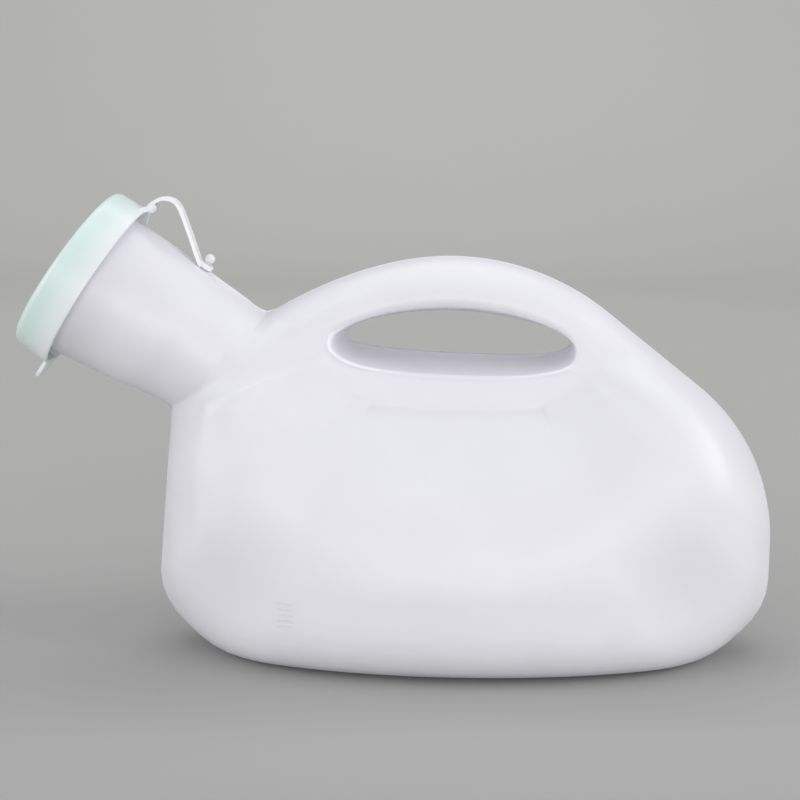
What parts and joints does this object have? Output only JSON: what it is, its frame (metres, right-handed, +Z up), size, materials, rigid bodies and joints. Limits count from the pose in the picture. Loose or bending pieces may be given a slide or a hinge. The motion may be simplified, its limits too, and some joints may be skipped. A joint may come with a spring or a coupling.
{
  "type": "urine bottle",
  "caption": "Blow-moulded ward urine bottle with a hollow grip handle, a slanted wide neck and a push-on cap kept on a short strap",
  "frame": {"origin": "middle of the flat base, on the surface that the bottle stands on", "axes": "+Z up, the mouth points to -X and up, +Y across the bottle"},
  "size_m": [0.2555, 0.1036, 0.1551],
  "materials": {
    "bottle": "satin translucent white polyethylene",
    "cap": "satin mint polyethylene",
    "strap": "satin white plastic"
  },
  "bodies": {
    "bottle": {"bottle_body": "bottle", "tether_strap": "strap"},
    "cap": {"cap": "cap"}
  },
  "joints": [
    {"name": "cap_flip", "type": "hinge", "parent": "bottle", "child": "cap", "pos_m": [-0.10608, 0, 0.15273], "axis": [0, 1, 0], "range_deg": [0, 115]}
  ]
}
